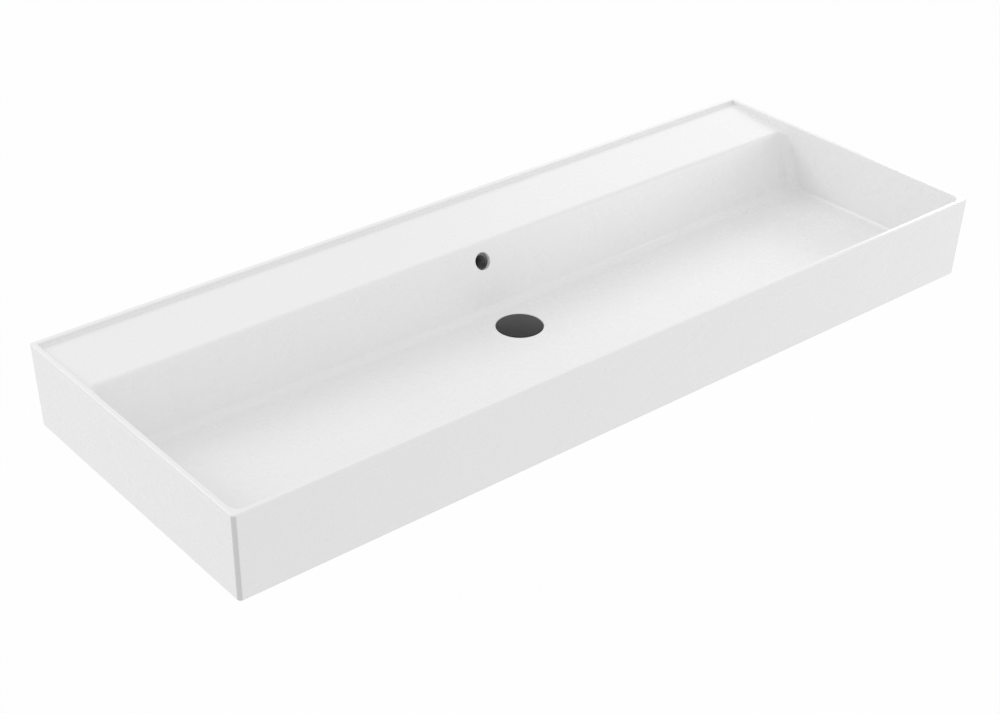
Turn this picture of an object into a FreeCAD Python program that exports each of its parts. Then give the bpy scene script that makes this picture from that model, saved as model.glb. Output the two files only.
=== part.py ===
import FreeCAD, Part
import math
import os
import Sketcher

# A wall-hung rectangular washbasin of glazed ceramic, with its push-open waste, its overflow
# and its wall fixings. Millimetres. The origin is on the wall plane, midway between the two
# wall bolts. +X runs to the right seen from the front, +Y into the wall and +Z up.

# Every driving size: alias and value

SIZES = (
    # Outer form of the ceramic
    ("basin_length", 1200),
    ("basin_depth", 460),
    ("basin_height", 118),
    ("side_draft", 2.7),
    ("front_draft", 5.9),
    ("front_corner_radius", 5),
    ("rear_corner_radius", 3),
    ("rim_width", 7),
    ("rim_round", 1.6),
    ("foot_round", 1.2),
    # Deck behind the bowl, and the low lip at the wall
    ("lip_width", 8),
    ("lip_foot_radius", 3),
    ("deck_drop", 6),
    ("deck_fall", 5.4),
    ("deck_depth", 111),
    ("deck_edge_radius", 7),
    ("deck_edge_least", 0.5),
    # Bowl
    ("bowl_depth", 99.6),
    ("side_lean", 8),
    ("front_lean", 7),
    ("rear_wall_angle", 22),
    ("bowl_corner_radius", 15),
    ("rear_foot_radius", 12),
    ("front_foot_radius", 10),
    ("side_foot_radius", 6),
    ("floor_front_rise", 8.6),
    ("floor_end_rise", 6.6),
    ("valley_radius", 400),
    ("valley_ahead", 34),
    # Ceramic thickness and the hollow underside
    ("floor_thickness", 9),
    ("wall_thickness", 9),
    ("skirt_width", 12),
    ("back_wall", 12),
    ("hollow_radius", 6),
    ("hollow_foot_radius", 18),
    ("web_thickness", 9),
    ("web_place", 330),
    ("web_lift", 4),
    # Waste outlet in the floor
    ("drain_inset", 207),
    ("drain_bore", 46),
    ("recess_gap", 0.8),
    ("recess_round", 1.2),
    ("drain_boss", 92),
    ("boss_lift", 1.5),
    # Overflow hole in the bowl's rear wall
    ("overflow_drop", 35.1),
    ("overflow_bore", 24),
    ("overflow_round", 0.8),
    ("overflow_face", 6),
    ("socket_bore", 32),
    ("socket_depth", 14),
    ("socket_boss", 46),
    # Wall fixings in the back wall
    ("fixing_spacing", 280),
    ("fixing_height", 58),
    ("fixing_hole", 20),
    ("fixing_boss", 50),
    ("fixing_boss_depth", 6),
    # Cover of the push-open waste, with its seal and stem
    ("cap_diameter", 63),
    ("cap_thickness", 3),
    ("cap_round", 0.8),
    ("cap_hub", 13),
    ("cap_hub_length", 6),
    ("cap_seal_outer", 54),
    ("cap_seal_inner", 43),
    ("cap_seal_thickness", 1.9),
    ("seal_rib", 1.4),
    ("seal_rib_height", 1.2),
    ("rest_gap", 0.3),
    ("stem_diameter", 6.9),
    ("stem_length", 19),
    ("stud_diameter", 5),
    ("stud_length", 4.5),
    # Waste body: flange, throat, windows, spider and threaded tail
    ("flange_diameter", 62.4),
    ("flange_thickness", 2.2),
    ("flange_seal_thickness", 1.2),
    ("throat_radius", 3),
    ("tail_diameter", 41.9),
    ("tail_wall", 2.3),
    ("tail_length", 90),
    ("window_width", 9),
    ("window_height", 15),
    ("window_round", 2),
    ("window_count", 4),
    ("spider_drop", 16),
    ("spider_height", 6),
    ("spider_arm", 3),
    ("spider_arms", 3),
    ("spider_hub", 15),
    ("trim_groove_width", 2),
    ("trim_groove_depth", 0.5),
    ("nut_clear", 1.5),
    # Push-open cartridge and its spring
    ("cartridge_diameter", 10),
    ("cartridge_collar", 14),
    ("cartridge_collar_height", 3),
    ("cartridge_length", 33),
    ("cartridge_floor", 2),
    ("running_gap", 0.05),
    ("spring_wire", 0.7),
    ("spring_turns", 5),
    ("spring_slack", 0.3),
    # Overflow collar round the tail, its seals and its nut
    ("collar_diameter", 62),
    ("collar_height", 30),
    ("collar_wall", 3),
    ("collar_gap", 0.25),
    ("collar_round", 1.5),
    ("collar_seal", 3),
    ("upper_seal_diameter", 60),
    ("lower_seal_diameter", 56),
    ("slide_washer", 1.5),
    ("nut_height", 9),
    ("nut_flats", 52),
    ("nut_corner_share", 0.65),
    ("nut_corner_angle", 30),
    # Overflow pipe, its two unions and the elbow behind the hole
    ("pipe_diameter", 20),
    ("pipe_wall", 1.8),
    ("pipe_bend", 30),
    ("pipe_socket", 13),
    ("pipe_gap", 0.2),
    ("spigot_diameter", 26.4),
    ("inlet_reach", 57),
    ("inlet_bore", 16),
    ("union_grip", 10),
    ("union_wall", 3),
    ("union_diameter", 34),
    ("union_ribs", 12),
    ("union_rib", 1.2),
    ("union_rib_width", 2),
    ("cone_length", 4.6),
    ("cone_tip", 1.2),
    ("seat_gap", 0.1),
    ("elbow_bore", 17),
    ("elbow_bend", 20),
    ("elbow_run", 6),
    ("elbow_drop", 18),
    ("elbow_shoulder", 42),
    ("elbow_shoulder_width", 3),
    ("overflow_seal_length", 6),
    ("overflow_seal_place", 10),
    # Wall bolts and what clamps the ceramic on them
    ("bolt_diameter", 10),
    ("bolt_thread_diameter", 9),
    ("bolt_inside", 30),
    ("bolt_outside", 72),
    ("bolt_tip", 8),
    ("bolt_tip_diameter", 3),
    ("bolt_round", 1),
    ("sleeve_gap", 0.5),
    ("sleeve_bore", 10.6),
    ("sleeve_short", 0.5),
    ("sleeve_flange", 38),
    ("sleeve_flange_width", 4),
    ("washer_diameter", 30),
    ("washer_bore", 10.5),
    ("washer_width", 2.5),
    ("bolt_nut_flats", 17),
    ("bolt_nut_height", 8),
    ("bolt_nut_bore", 9.2),
    # Run of a cut past the face that it starts from
    ("overrun", 10),
)

# Places worked out from the sizes: alias and formula

PLACES = (
    ("top", "Sizes.basin_height - Sizes.fixing_height"),
    ("bottom", "-Sizes.fixing_height"),
    ("floor", "top - Sizes.bowl_depth"),
    ("lean", "tan(Sizes.rear_wall_angle)"),
    ("deck_back", "top - Sizes.deck_drop"),
    ("deck_front", "deck_back - Sizes.deck_fall"),
    ("deck_slope", "Sizes.deck_fall / Sizes.deck_depth"),
    ("deck_edge", "-(Sizes.lip_width + Sizes.deck_depth)"),
    ("mouth_half", "Sizes.basin_length / 2 - Sizes.rim_width"),
    ("mouth_front", "Sizes.rim_width - Sizes.basin_depth"),
    ("low", "floor - 2 * Sizes.overrun"),
    ("high", "top + Sizes.overrun"),
    ("low_half", "mouth_half - Sizes.side_lean * (top - low) / Sizes.bowl_depth"),
    ("high_half", "mouth_half - Sizes.side_lean * (top - high) / Sizes.bowl_depth"),
    ("low_front", "mouth_front + Sizes.front_lean * (top - low) / Sizes.bowl_depth"),
    ("high_front", "mouth_front + Sizes.front_lean * (top - high) / Sizes.bowl_depth"),
    ("low_rear", "deck_edge + (low - deck_front) * lean"),
    ("high_rear", "deck_edge + (high - deck_front) * lean"),
    ("valley", "Sizes.valley_ahead * -1 - Sizes.drain_inset"),
    ("wall_offset", "Sizes.wall_thickness / cos(Sizes.rear_wall_angle)"),
    ("skirt_half", "Sizes.basin_length / 2 - Sizes.side_draft - Sizes.skirt_width"),
    ("skirt_front", "Sizes.front_draft + Sizes.skirt_width - Sizes.basin_depth"),
    ("overflow_height", "top - Sizes.overflow_drop"),
    ("overflow_place", "deck_edge + (overflow_height - deck_front) * lean"),
    ("recess_diameter", "Sizes.cap_diameter + 2 * Sizes.recess_gap"),
    ("flange_top", "-(Sizes.cap_thickness + Sizes.cap_seal_thickness + Sizes.rest_gap)"),
    ("recess_bottom", "flange_top - Sizes.flange_thickness - Sizes.flange_seal_thickness"),
    ("boss_bottom", "bottom + Sizes.boss_lift - floor"),
    ("collar_top", "boss_bottom - Sizes.collar_seal"),
    ("collar_bottom", "collar_top - Sizes.collar_height"),
    ("inlet_level", "collar_top - Sizes.collar_height / 2"),
    ("nut_top", "collar_bottom - Sizes.collar_seal - Sizes.slide_washer"),
    ("groove_top", "nut_top - Sizes.nut_height - Sizes.nut_clear"),
    ("tail_bore", "Sizes.tail_diameter - 2 * Sizes.tail_wall"),
    ("tail_clear", "Sizes.tail_diameter / 2 + Sizes.collar_gap"),
    ("tail_end", "flange_top - Sizes.tail_length"),
    ("spider_top", "-Sizes.spider_drop"),
    ("cartridge_top", "spider_top + Sizes.cartridge_collar_height"),
    ("stem_bore", "Sizes.stem_diameter + 2 * Sizes.running_gap"),
    ("stem_top", "-(Sizes.cap_thickness + Sizes.cap_hub_length)"),
    ("stem_end", "stem_top - Sizes.stem_length"),
    ("spring_foot", "cartridge_top - Sizes.cartridge_length + Sizes.cartridge_floor"),
    ("pipe_out", "Sizes.pipe_diameter + 2 * Sizes.pipe_gap"),
    ("elbow_turn", "90 - Sizes.rear_wall_angle"),
    ("elbow_tangent", "Sizes.elbow_bend * tan(elbow_turn / 2)"),
    ("elbow_start", "Sizes.overflow_face + Sizes.rest_gap"),
    ("elbow_corner", "Sizes.overflow_face + Sizes.socket_depth + Sizes.elbow_run + elbow_tangent"),
    ("pipe_line", "overflow_place + elbow_corner * cos(Sizes.rear_wall_angle)"),
    ("elbow_level", "overflow_height - elbow_corner * sin(Sizes.rear_wall_angle)"),
    ("elbow_end", "elbow_level - elbow_tangent - Sizes.elbow_drop"),
    ("inlet_end", "Sizes.inlet_reach - Sizes.drain_inset"),
    ("union_end", "Sizes.cone_length + 2 * Sizes.seat_gap"),
    ("boss_face", "-(Sizes.back_wall + Sizes.fixing_boss_depth)"),
    ("sleeve_face", "boss_face - Sizes.sleeve_flange_width"),
    ("washer_face", "sleeve_face - Sizes.washer_width"),
)

doc = FreeCAD.newDocument("washbasin")
sizes = doc.addObject("Spreadsheet::Sheet", "Sizes")
places = doc.addObject("Spreadsheet::Sheet", "Places")


def fill_sheets():
    for row, (alias, number) in enumerate(SIZES, 1):
        sizes.set("A%d" % row, alias)
        sizes.set("B%d" % row, str(number))
        sizes.setAlias("B%d" % row, alias)
    doc.recompute()
    for row, (alias, formula) in enumerate(PLACES, 1):
        places.set("A%d" % row, alias)
        places.set("B%d" % row, "=" + formula)
        places.setAlias("B%d" % row, alias)
        doc.recompute()


def value(expression):
    """The number that an expression on the sheets gives."""
    return float(sizes.evalExpression(expression))


# Sketches, each one bound to the sheets by its constraints

def plane(body, role):
    return [item for item in body.Origin.OriginFeatures if item.Role == role][0]


def sketch_on(body, name, role, offset="0"):
    """A sketch on one of the body's origin planes, moved along the plane's normal."""
    sketch = body.newObject("Sketcher::SketchObject", name)
    sketch.AttachmentSupport = [(plane(body, role), "")]
    sketch.MapMode = "FlatFace"
    if offset != "0":
        sketch.AttachmentOffset = FreeCAD.Placement()
        sketch.setExpression("AttachmentOffset.Base.z", offset)
    return sketch


def bind(sketch, constraint, name, expression):
    index = sketch.addConstraint(constraint)
    sketch.renameConstraint(index, name)
    sketch.setExpression("Constraints." + name, expression)


def pin_point(sketch, geometry, position, name, across, up):
    """Hold a point at its distances from the sketch's origin."""
    if across == "0":
        sketch.addConstraint(Sketcher.Constraint("PointOnObject", geometry, position, -2))
    else:
        bind(sketch, Sketcher.Constraint("DistanceX", -1, 1, geometry, position, value(across)),
             name + "_across", across)
    if up == "0":
        sketch.addConstraint(Sketcher.Constraint("PointOnObject", geometry, position, -1))
    else:
        bind(sketch, Sketcher.Constraint("DistanceY", -1, 1, geometry, position, value(up)),
             name + "_up", up)


def corner_arc(before, corner, after, radius):
    """The arc that rounds a corner, its two tangent points, and whether it turns left."""
    back = (before - corner).normalize()
    on = (after - corner).normalize()
    half = back.getAngle(on) / 2
    start = corner + back * (radius / math.tan(half))
    end = corner + on * (radius / math.tan(half))
    centre = corner + (back + on).normalize() * (radius / math.sin(half))
    left = (back.cross(on)).z < 0
    first, last = (start, end) if left else (end, start)
    circle = Part.Circle(centre, FreeCAD.Vector(0, 0, 1), radius)
    begin = math.atan2(first.y - centre.y, first.x - centre.x)
    finish = math.atan2(last.y - centre.y, last.x - centre.x)
    return Part.ArcOfCircle(circle, begin, finish), start, end, left


def outline(sketch, corners, closed=True):
    """Lines from corner to corner. A corner is (across, up) or (across, up, radius)."""
    count = len(corners)
    tag = "c%d" % len(sketch.Geometry)
    points = [FreeCAD.Vector(value(corner[0]), value(corner[1]), 0) for corner in corners]
    starts = list(points)
    ends = list(points)
    arcs = {}
    for at, corner in enumerate(corners):
        if len(corner) == 3:
            arc, ends[at], starts[at], left = corner_arc(
                points[at - 1], points[at], points[(at + 1) % count], value(corner[2]))
            arcs[at] = (arc, left)
    runs = count if closed else count - 1
    lines = [sketch.addGeometry(Part.LineSegment(starts[at], ends[(at + 1) % count]))
             for at in range(runs)]
    for at, corner in enumerate(corners):
        name = "%s_%d" % (tag, at)
        if at in arcs:
            arc, left = arcs[at]
            index = sketch.addGeometry(arc)
            first, last = (1, 2) if left else (2, 1)
            sketch.addConstraint(Sketcher.Constraint("Tangent", lines[at - 1], 2, index, first))
            sketch.addConstraint(Sketcher.Constraint("Tangent", lines[at], 1, index, last))
            bind(sketch, Sketcher.Constraint("Radius", index, value(corner[2])),
                 name + "_radius", corner[2])
            point = sketch.addGeometry(Part.Point(points[at]), True)
            sketch.addConstraint(Sketcher.Constraint("PointOnObject", point, 1, lines[at - 1]))
            sketch.addConstraint(Sketcher.Constraint("PointOnObject", point, 1, lines[at]))
            pin_point(sketch, point, 1, name, corner[0], corner[1])
        elif at < runs:
            if closed or at:
                sketch.addConstraint(Sketcher.Constraint("Coincident", lines[at - 1], 2, lines[at], 1))
            pin_point(sketch, lines[at], 1, name, corner[0], corner[1])
        else:
            pin_point(sketch, lines[at - 1], 2, name, corner[0], corner[1])


def circle(sketch, diameter, across="0", up="0"):
    name = "c%d" % len(sketch.Geometry)
    centre = FreeCAD.Vector(value(across), value(up), 0)
    index = sketch.addGeometry(Part.Circle(centre, FreeCAD.Vector(0, 0, 1), value(diameter) / 2))
    bind(sketch, Sketcher.Constraint("Diameter", index, value(diameter)), name + "_width", diameter)
    pin_point(sketch, index, 3, name, across, up)


# Features

def new_body(label):
    body = doc.addObject("PartDesign::Body", label)
    body.Label = label
    return body


def loft(body, name, sections, ruled):
    feature = body.newObject("PartDesign::AdditiveLoft", name)
    feature.Profile = sections[0]
    feature.Sections = sections[1:]
    feature.Ruled = ruled
    return feature


def pad(body, name, sketch, length, midplane=False, reverse=False):
    feature = body.newObject("PartDesign::Pad", name)
    feature.Profile = sketch
    feature.Midplane = midplane
    feature.Reversed = reverse
    feature.setExpression("Length", length)
    return feature


def pocket(body, name, sketch, length, midplane=False, reverse=False):
    """A pocket that has to take something away."""
    doc.recompute()
    before = body.Shape.Volume
    feature = body.newObject("PartDesign::Pocket", name)
    feature.Profile = sketch
    feature.Midplane = midplane
    feature.Reversed = reverse
    feature.setExpression("Length", length)
    doc.recompute()
    if not body.Shape.Volume < before:
        raise RuntimeError(name + " takes nothing away")
    return feature


def joined(label, kind, base, tool):
    feature = doc.addObject(kind, label)
    feature.Base = base
    feature.Tool = tool
    doc.recompute()
    return feature


def edges_where(shape, test):
    return [index for index, edge in enumerate(shape.Edges, 1) if test(edge)]


def round_edges(body, name, base, indices, radius):
    feature = body.newObject("PartDesign::Fillet", name)
    feature.Base = (base, ["Edge%d" % index for index in indices])
    feature.setExpression("Radius", radius)
    doc.recompute()
    return feature


def place(feature, across="0", along="0", up="0", turn="0"):
    """Turn a feature about X by an angle in degrees, and move it."""
    feature.Placement = FreeCAD.Placement(FreeCAD.Vector(), FreeCAD.Rotation(FreeCAD.Vector(1, 0, 0), 90))
    feature.setExpression("Placement.Rotation.Angle", turn)
    for axis, distance in (("x", across), ("y", along), ("z", up)):
        feature.setExpression("Placement.Base." + axis, distance)


TO_WALL = "-90"
TO_FRONT = "90"
DOWN = "180"
INTO_HOLE = "-(90 + Sizes.rear_wall_angle)"


def cylinder(label, diameter, height, across="0", along="0", up="0", turn="0"):
    feature = doc.addObject("Part::Cylinder", label)
    feature.setExpression("Radius", "(%s) / 2" % diameter)
    feature.setExpression("Height", height)
    place(feature, across, along, up, turn)
    return feature


def turned(label, corners):
    """A body turned about its own Z axis. Its corners are (radius, height)."""
    body = new_body(label)
    sketch = sketch_on(body, label + "_profile", "XZ_Plane")
    outline(sketch, corners)
    feature = body.newObject("PartDesign::Revolution", label + "_turned")
    feature.Profile = sketch
    feature.ReferenceAxis = (sketch, ["V_Axis"])
    feature.Angle = 360
    doc.recompute()
    return body


def ring(label, inner, outer, low, high):
    return turned(label, ((inner, low), (outer, low), (outer, high), (inner, high)))


def turned_groove(body, name, sketch):
    doc.recompute()
    before = body.Shape.Volume
    feature = body.newObject("PartDesign::Groove", name)
    feature.Profile = sketch
    feature.ReferenceAxis = (sketch, ["V_Axis"])
    feature.Angle = 360
    doc.recompute()
    if not body.Shape.Volume < before:
        raise RuntimeError(name + " takes nothing away")


def piped(label, corners, outer, inner):
    """A bent tube in the plane across the wall. Its corners are (along, up)."""
    body = new_body(label)
    path = sketch_on(body, label + "_path", "YZ_Plane")
    outline(path, corners, closed=False)
    doc.recompute()
    section = sketch_across(body, label + "_section", path)
    circle(section, outer)
    circle(section, inner)
    feature = body.newObject("PartDesign::AdditivePipe", label + "_tube")
    feature.Profile = section
    feature.Spine = (path, ["Edge%d" % index for index in range(1, len(path.Shape.Edges) + 1)])
    doc.recompute()
    return body, path


def sketch_across(body, name, path, offset="0"):
    """A sketch square to the first line of a path, its normal pointing back along it."""
    sketch = body.newObject("Sketcher::SketchObject", name)
    sketch.AttachmentSupport = [(path, "Edge1")]
    sketch.MapMode = "NormalToEdge"
    sketch.AttachmentOffset = FreeCAD.Placement()
    sketch.setExpression("AttachmentOffset.Base.z", offset)
    doc.recompute()
    return sketch


def around(body, name, feature, count):
    """Repeat a feature of the body round its Z axis."""
    pattern = body.newObject("PartDesign::PolarPattern", name)
    pattern.Originals = [feature]
    pattern.Axis = (plane(body, "Z_Axis"), [""])
    pattern.Angle = 360
    pattern.setExpression("Occurrences", count)
    body.Tip = pattern
    doc.recompute()


def fused(label, items):
    feature = doc.addObject("Part::MultiFuse", label)
    feature.Shapes = items
    doc.recompute()
    return feature


def group(label, items):
    compound = doc.addObject("Part::Compound", label)
    compound.Label = label
    compound.Links = items
    doc.recompute()
    return compound


def pair(label, body):
    """The body and its mirror image across the middle, as one group of two solids."""
    twin = doc.addObject("Part::Mirroring", label + "_twin")
    twin.Source = body
    twin.Normal = (1, 0, 0)
    return group(label, [body, twin])


# The ceramic

def outer_form():
    """The drafted block that the bowl and the hollow are cut from."""
    body = new_body("outer_form")
    sections = []
    for name, draft, lead, level in (("foot", "Sizes.side_draft", "Sizes.front_draft", "Places.bottom"),
                                     ("head", "0", "0", "Places.top")):
        half = "Sizes.basin_length / 2 - " + draft
        front = lead + " - Sizes.basin_depth"
        sketch = sketch_on(body, "outer_" + name, "XY_Plane", level)
        outline(sketch, (("-(%s)" % half, front, "Sizes.front_corner_radius"),
                         (half, front, "Sizes.front_corner_radius"),
                         (half, "0", "Sizes.rear_corner_radius"),
                         ("-(%s)" % half, "0", "Sizes.rear_corner_radius")))
        sections.append(sketch)
    loft(body, "outer_loft", sections, True)
    doc.recompute()
    return body


def bowl_walls():
    """The bowl's four leaning walls with their upright corners, run past rim and floor."""
    body = new_body("bowl_walls")
    sections = []
    for level in ("low", "high"):
        sketch = sketch_on(body, "walls_" + level, "XY_Plane", "Places." + level)
        half = "Places.%s_half" % level
        outline(sketch, ((("-" + half), "Places.%s_front" % level, "Sizes.bowl_corner_radius"),
                         (half, "Places.%s_front" % level, "Sizes.bowl_corner_radius"),
                         (half, "Places.%s_rear" % level, "Sizes.bowl_corner_radius"),
                         (("-" + half), "Places.%s_rear" % level, "Sizes.bowl_corner_radius")))
        sections.append(sketch)
    loft(body, "walls_loft", sections, True)
    doc.recompute()
    return body


END_SHARES = (-1, 0, 1)


def floor_form():
    """What lies under the bowl's floor, which falls from the front and both ends."""
    body = new_body("floor_form")
    sections = []
    for at, share in enumerate(END_SHARES):
        sketch = sketch_on(body, "floor_%d" % at, "YZ_Plane", "%s * Sizes.basin_length / 2" % share)
        level = "Places.floor + %s * Sizes.floor_end_rise" % abs(share)
        outline(sketch, (("-Sizes.basin_depth", "Places.low - Sizes.overrun"),
                         ("Sizes.overrun", "Places.low - Sizes.overrun"),
                         ("Sizes.overrun", level),
                         ("Places.valley", level, "Sizes.valley_radius"),
                         ("-Sizes.basin_depth", "Places.floor + Sizes.floor_front_rise")))
        sections.append(sketch)
    loft(body, "floor_loft", sections, False)
    doc.recompute()
    return body


def bowl_core(sharp):
    """The bowl's hollow, its foot rounded: wide at the rear and front, tight at the ends."""
    rear, side = value("Sizes.rear_foot_radius"), value("Sizes.side_foot_radius")
    front = value("Sizes.front_foot_radius")
    middle = value("Places.valley")
    foot = []
    for index, edge in enumerate(sharp.Shape.Edges, 1):
        box = edge.BoundBox
        across = box.XMax - box.XMin > value("Sizes.basin_length / 2")
        crosses = across and box.YMin > value("Places.low_front + Sizes.bowl_corner_radius") \
            and box.YMax < value("Places.low_rear - Sizes.bowl_corner_radius")
        if box.ZMax > 0 or crosses:
            continue
        wide = rear if box.YMin > middle else front
        if across:
            foot.append((index, wide, wide))
        elif box.XMax - box.XMin < value("Sizes.side_foot_radius"):
            foot.append((index, side, side))
        else:
            first, last = edge.valueAt(edge.FirstParameter), edge.valueAt(edge.LastParameter)
            foot.append((index, wide, side) if abs(first.x) < abs(last.x) else (index, side, wide))
    feature = doc.addObject("Part::Fillet", "bowl_core")
    feature.Base = sharp
    feature.Edges = foot
    doc.recompute()
    return feature


def deck_core():
    """The space over the deck, between the two end walls and the lip."""
    body = new_body("deck_core")
    sketch = sketch_on(body, "deck_profile", "YZ_Plane")
    outline(sketch, (("Places.mouth_front / 2", "Places.high"),
                     ("Places.mouth_front / 2", "Places.deck_front + (Places.mouth_front / 2"
                      " - Places.deck_edge) * Places.deck_slope"),
                     ("-Sizes.lip_width", "Places.deck_back", "Sizes.lip_foot_radius"),
                     ("-Sizes.lip_width", "Places.high")))
    pad(body, "deck_pad", sketch, "2 * Places.high_half + 2 * Sizes.overrun", midplane=True)
    doc.recompute()
    for side, name in ((1, "right"), (-1, "left")):
        wedge = sketch_on(body, "wedge_" + name, "XZ_Plane")
        reach = "%d * (Places.high_half + 2 * Sizes.overrun)" % side
        outline(wedge, (("%d * Places.low_half" % side, "Places.low"),
                        (reach, "Places.low"), (reach, "Places.high"),
                        ("%d * Places.high_half" % side, "Places.high")))
        pocket(body, "wedge_cut_" + name, wedge, "2 * Sizes.basin_depth", midplane=True)
    return body


def behind_wall(level):
    """How far back the leaning rear wall's hidden face is at a level."""
    return "(Places.deck_edge + Places.wall_offset + (%s - Places.deck_front) * Places.lean)" % level


def hollow_core():
    """The open underside: below the floor, behind the rear wall and under the deck."""
    body = new_body("hollow_core")
    sections = []
    front = "(Places.floor + Sizes.floor_front_rise - Sizes.floor_thickness)"
    roof = "(Places.deck_front - Sizes.wall_thickness)"
    for at, share in enumerate(END_SHARES):
        sketch = sketch_on(body, "hollow_%d" % at, "YZ_Plane", "%d * Places.skirt_half" % share)
        flat = "(Places.floor + %d * Sizes.floor_end_rise - Sizes.floor_thickness)" % abs(share)
        outline(sketch, (("Places.skirt_front", "Places.bottom - Sizes.overrun"),
                         ("-Sizes.back_wall", "Places.bottom - Sizes.overrun"),
                         ("-Sizes.back_wall", "Places.deck_back - Sizes.wall_thickness",
                          "Sizes.hollow_radius"),
                         (behind_wall(roof), roof, "Sizes.hollow_radius"),
                         (behind_wall(flat), flat, "Sizes.hollow_foot_radius"),
                         ("Places.valley", flat, "Sizes.valley_radius"),
                         ("Places.skirt_front", front, "Sizes.hollow_radius")))
        sections.append(sketch)
    loft(body, "hollow_loft", sections, True)
    doc.recompute()
    return body


def along_hole(depth):
    """Where the overflow hole's axis is, at a depth behind the bowl's rear wall."""
    return ("Places.overflow_place + (%s) * cos(Sizes.rear_wall_angle)" % depth,
            "Places.overflow_height - (%s) * sin(Sizes.rear_wall_angle)" % depth)


def hole_cylinder(label, diameter, start, length):
    along, up = along_hole(start)
    return cylinder(label, diameter, length, "0", along, up, INTO_HOLE)


def inner_bosses():
    """What stands inside the hollow: two webs, and the bosses of drain, overflow and bolts."""
    items = []
    for side, name in ((1, "right"), (-1, "left")):
        web = doc.addObject("Part::Box", "web_" + name)
        web.setExpression("Length", "Sizes.web_thickness")
        web.setExpression("Width", "-Places.low_rear - Sizes.back_wall / 2")
        web.setExpression("Height", "Places.deck_front - Sizes.wall_thickness / 2 - Places.bottom"
                          " - Sizes.web_lift")
        place(web, "%d * Sizes.web_place - Sizes.web_thickness / 2" % side, "Places.low_rear",
              "Places.bottom + Sizes.web_lift")
        items.append(web)
        items.append(cylinder("bolt_boss_" + name, "Sizes.fixing_boss",
                              "Sizes.fixing_boss_depth + Sizes.back_wall / 2",
                              "%d * Sizes.fixing_spacing / 2" % side, "-Sizes.back_wall / 2", "0",
                              TO_FRONT))
    items.append(cylinder("drain_boss", "Sizes.drain_boss",
                          "Places.floor - Places.bottom - Sizes.boss_lift - Sizes.floor_thickness / 2",
                          "0", "-Sizes.drain_inset", "Places.bottom + Sizes.boss_lift"))
    items.append(hole_cylinder("overflow_boss", "Sizes.socket_boss", "Sizes.overflow_face / 2",
                               "Sizes.overflow_face / 2 + Sizes.socket_depth"))
    return items


def openings():
    """The hollows and holes that are cut from the ceramic, in the order of cutting."""
    sharp = joined("bowl_sharp", "Part::Cut", bowl_walls(), floor_form())
    items = [bowl_core(sharp), deck_core()]
    items.append(cylinder("drain_hole", "Sizes.drain_bore", "Sizes.bowl_depth",
                          "0", "-Sizes.drain_inset", "Places.bottom - Sizes.overrun"))
    items.append(cylinder("drain_recess", "Places.recess_diameter", "Sizes.bowl_depth",
                          "0", "-Sizes.drain_inset", "Places.floor + Places.recess_bottom"))
    items.append(hole_cylinder("overflow_hole", "Sizes.overflow_bore", "-Sizes.overrun",
                               "2 * Sizes.overrun + Sizes.overflow_face"))
    items.append(hole_cylinder("overflow_socket", "Sizes.socket_bore", "Sizes.overflow_face",
                               "Sizes.socket_depth + Sizes.overrun"))
    for side, name in ((1, "right"), (-1, "left")):
        items.append(cylinder("bolt_hole_" + name, "Sizes.fixing_hole",
                              "Sizes.back_wall + Sizes.fixing_boss_depth + 2 * Sizes.overrun",
                              "%d * Sizes.fixing_spacing / 2" % side, "Sizes.overrun", "0", TO_FRONT))
    return items


def at_deck_edge(edge):
    """Whether an edge is part of the deck's front edge, its two bent ends included."""
    box, tiny = edge.BoundBox, value("Sizes.running_gap")
    bend = 2 * value("Sizes.bowl_corner_radius")
    level, line = value("Places.deck_front"), value("Places.deck_edge")
    return (abs(box.YMax - line) < tiny and abs(box.ZMax - level) < tiny and box.YMin > line - bend
            and box.ZMin > level - bend * value("Places.deck_slope") - tiny)


def deck_edge_round(block):
    """Round the deck's front edge, running out to almost nothing in the bowl's two rear corners."""
    radius, least = value("Sizes.deck_edge_radius"), value("Sizes.deck_edge_least")
    edges = []
    for index in edges_where(block.Shape, at_deck_edge):
        edge = block.Shape.Edges[index - 1]
        first, last = edge.valueAt(edge.FirstParameter), edge.valueAt(edge.LastParameter)
        if first.x * last.x < 0:
            edges.append((index, radius, radius))
        else:
            edges.append((index, radius, least) if abs(first.x) < abs(last.x) else (index, least, radius))
    feature = doc.addObject("Part::Fillet", "deck_edge_rounded")
    feature.Base = block
    feature.Edges = edges
    doc.recompute()
    return feature


def at_overflow_mouth(edge):
    """Whether an edge is where the overflow hole comes out of the bowl's rear wall."""
    lean = math.radians(value("Sizes.rear_wall_angle"))
    inward = FreeCAD.Vector(0, math.cos(lean), -math.sin(lean))
    centre = FreeCAD.Vector(0, value("Places.overflow_place"), value("Places.overflow_height"))
    radius, tiny = value("Sizes.overflow_bore / 2"), value("Sizes.running_gap")
    for share in (0, 0.5, 1):
        span = edge.LastParameter - edge.FirstParameter
        reach = edge.valueAt(edge.FirstParameter + share * span) - centre
        depth = reach.dot(inward)
        if abs(depth) > tiny or abs((reach - inward * depth).Length - radius) > tiny:
            return False
    return True


def at_recess_mouth(edge):
    """Whether an edge is where the drain's recess comes out of the floor."""
    reach = value("Places.recess_diameter / 2 + Sizes.running_gap")
    centre, box = edge.CenterOfMass, edge.BoundBox
    level, slack = value("Places.floor"), value("Sizes.recess_round")
    return (abs(centre.x) < reach and abs(centre.y + value("Sizes.drain_inset")) < reach
            and box.ZMin > level - slack and box.ZMax < level + slack)


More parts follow.
